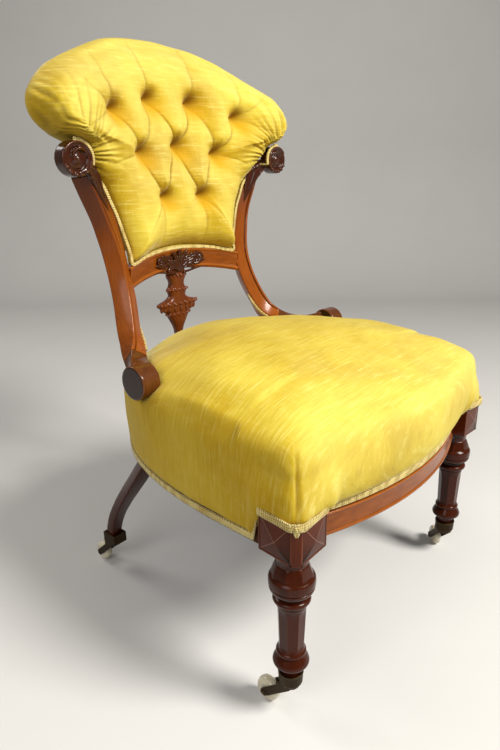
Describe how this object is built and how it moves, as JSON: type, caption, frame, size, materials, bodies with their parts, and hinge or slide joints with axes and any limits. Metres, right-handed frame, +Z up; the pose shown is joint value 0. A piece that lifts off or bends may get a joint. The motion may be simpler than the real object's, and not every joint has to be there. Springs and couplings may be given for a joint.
{
  "type": "button-back nursing chair",
  "caption": "Low upholstered chair: buttoned velvet back in a carved show-wood frame, sprung seat, turned front legs, swept back legs, swivelling castors.",
  "frame": {"origin": "on the floor, under the middle of the bounding box", "axes": "+X to the sitter's left, -Y to the front, +Z up"},
  "size_m": [0.5163, 0.5766, 0.858],
  "materials": {
    "walnut": "french polish",
    "dark_walnut": "french polish, darkened",
    "beech": "bare wood, hidden frame",
    "velvet": "cut pile velvet over stuffing",
    "braid": "woven braid",
    "hessian": "woven jute",
    "lining": "black cotton",
    "spring_steel": "coppered wire",
    "dark_brass": "tarnished, near black",
    "porcelain": null
  },
  "bodies": {
    "chair": {"front_rail": "walnut", "side_rail_left": "beech", "side_rail_right": "beech", "rear_leg_left": "dark_walnut", "rear_leg_right": "dark_walnut", "rear_rail": "beech", "corner_block_front_left": "beech", "corner_block_front_right": "beech", "corner_block_rear_left": "beech", "corner_block_rear_right": "beech", "front_leg_left": "dark_walnut", "front_leg_right": "dark_walnut", "upright_left": "walnut", "upright_right": "walnut", "lower_scroll_left": "walnut", "lower_scroll_right": "walnut", "shoulder_scroll_left": "dark_walnut", "shoulder_scroll_right": "dark_walnut", "cross_rail": "walnut", "splat": "dark_walnut", "back_pad": "velvet", "button_1": "velvet", "button_2": "velvet", "button_3": "velvet", "button_4": "velvet", "button_5": "velvet", "button_6": "velvet", "button_7": "velvet", "button_8": "velvet", "button_9": "velvet", "back_braid": "braid", "crest_rail": "beech", "outside_back": "velvet", "seat_hessian": "hessian", "seat_pad": "velvet", "seat_braid": "braid", "seat_webbing": "hessian", "spring_1": "spring_steel", "spring_2": "spring_steel", "spring_3": "spring_steel", "spring_4": "spring_steel", "spring_5": "spring_steel", "dust_cover": "lining", "castor_socket_front_left": "dark_brass", "castor_socket_front_right": "dark_brass", "castor_socket_rear_left": "dark_brass", "castor_socket_rear_right": "dark_brass"},
    "swivel_front_left": {"castor_horn_front_left": "dark_brass", "castor_axle_front_left": "dark_brass"},
    "wheel_front_left": {"castor_wheel_front_left": "porcelain"},
    "swivel_front_right": {"castor_horn_front_right": "dark_brass", "castor_axle_front_right": "dark_brass"},
    "wheel_front_right": {"castor_wheel_front_right": "porcelain"},
    "swivel_rear_left": {"castor_horn_rear_left": "dark_brass", "castor_axle_rear_left": "dark_brass"},
    "wheel_rear_left": {"castor_wheel_rear_left": "porcelain"},
    "swivel_rear_right": {"castor_horn_rear_right": "dark_brass", "castor_axle_rear_right": "dark_brass"},
    "wheel_rear_right": {"castor_wheel_rear_right": "porcelain"}
  },
  "joints": [
    {"name": "castor_swivel_front_left", "type": "hinge", "parent": "chair", "child": "swivel_front_left", "pos_m": [0.222, -0.232, 0.053], "axis": [0, 0, 1], "continuous": true},
    {"name": "castor_roll_front_left", "type": "hinge", "parent": "swivel_front_left", "child": "wheel_front_left", "pos_m": [0.24746, -0.20654, 0.017], "axis": [0.7071, -0.7071, 0], "continuous": true},
    {"name": "castor_swivel_front_right", "type": "hinge", "parent": "chair", "child": "swivel_front_right", "pos_m": [-0.222, -0.232, 0.053], "axis": [0, 0, 1], "continuous": true},
    {"name": "castor_roll_front_right", "type": "hinge", "parent": "swivel_front_right", "child": "wheel_front_right", "pos_m": [-0.222, -0.196, 0.017], "axis": [1, 0, 0], "continuous": true},
    {"name": "castor_swivel_rear_left", "type": "hinge", "parent": "chair", "child": "swivel_rear_left", "pos_m": [0.185, 0.187, 0.053], "axis": [0, 0, 1], "continuous": true},
    {"name": "castor_roll_rear_left", "type": "hinge", "parent": "swivel_rear_left", "child": "wheel_rear_left", "pos_m": [0.185, 0.223, 0.017], "axis": [1, 0, 0], "continuous": true},
    {"name": "castor_swivel_rear_right", "type": "hinge", "parent": "chair", "child": "swivel_rear_right", "pos_m": [-0.185, 0.187, 0.053], "axis": [0, 0, 1], "continuous": true},
    {"name": "castor_roll_rear_right", "type": "hinge", "parent": "swivel_rear_right", "child": "wheel_rear_right", "pos_m": [-0.185, 0.223, 0.017], "axis": [1, 0, 0], "continuous": true}
  ]
}
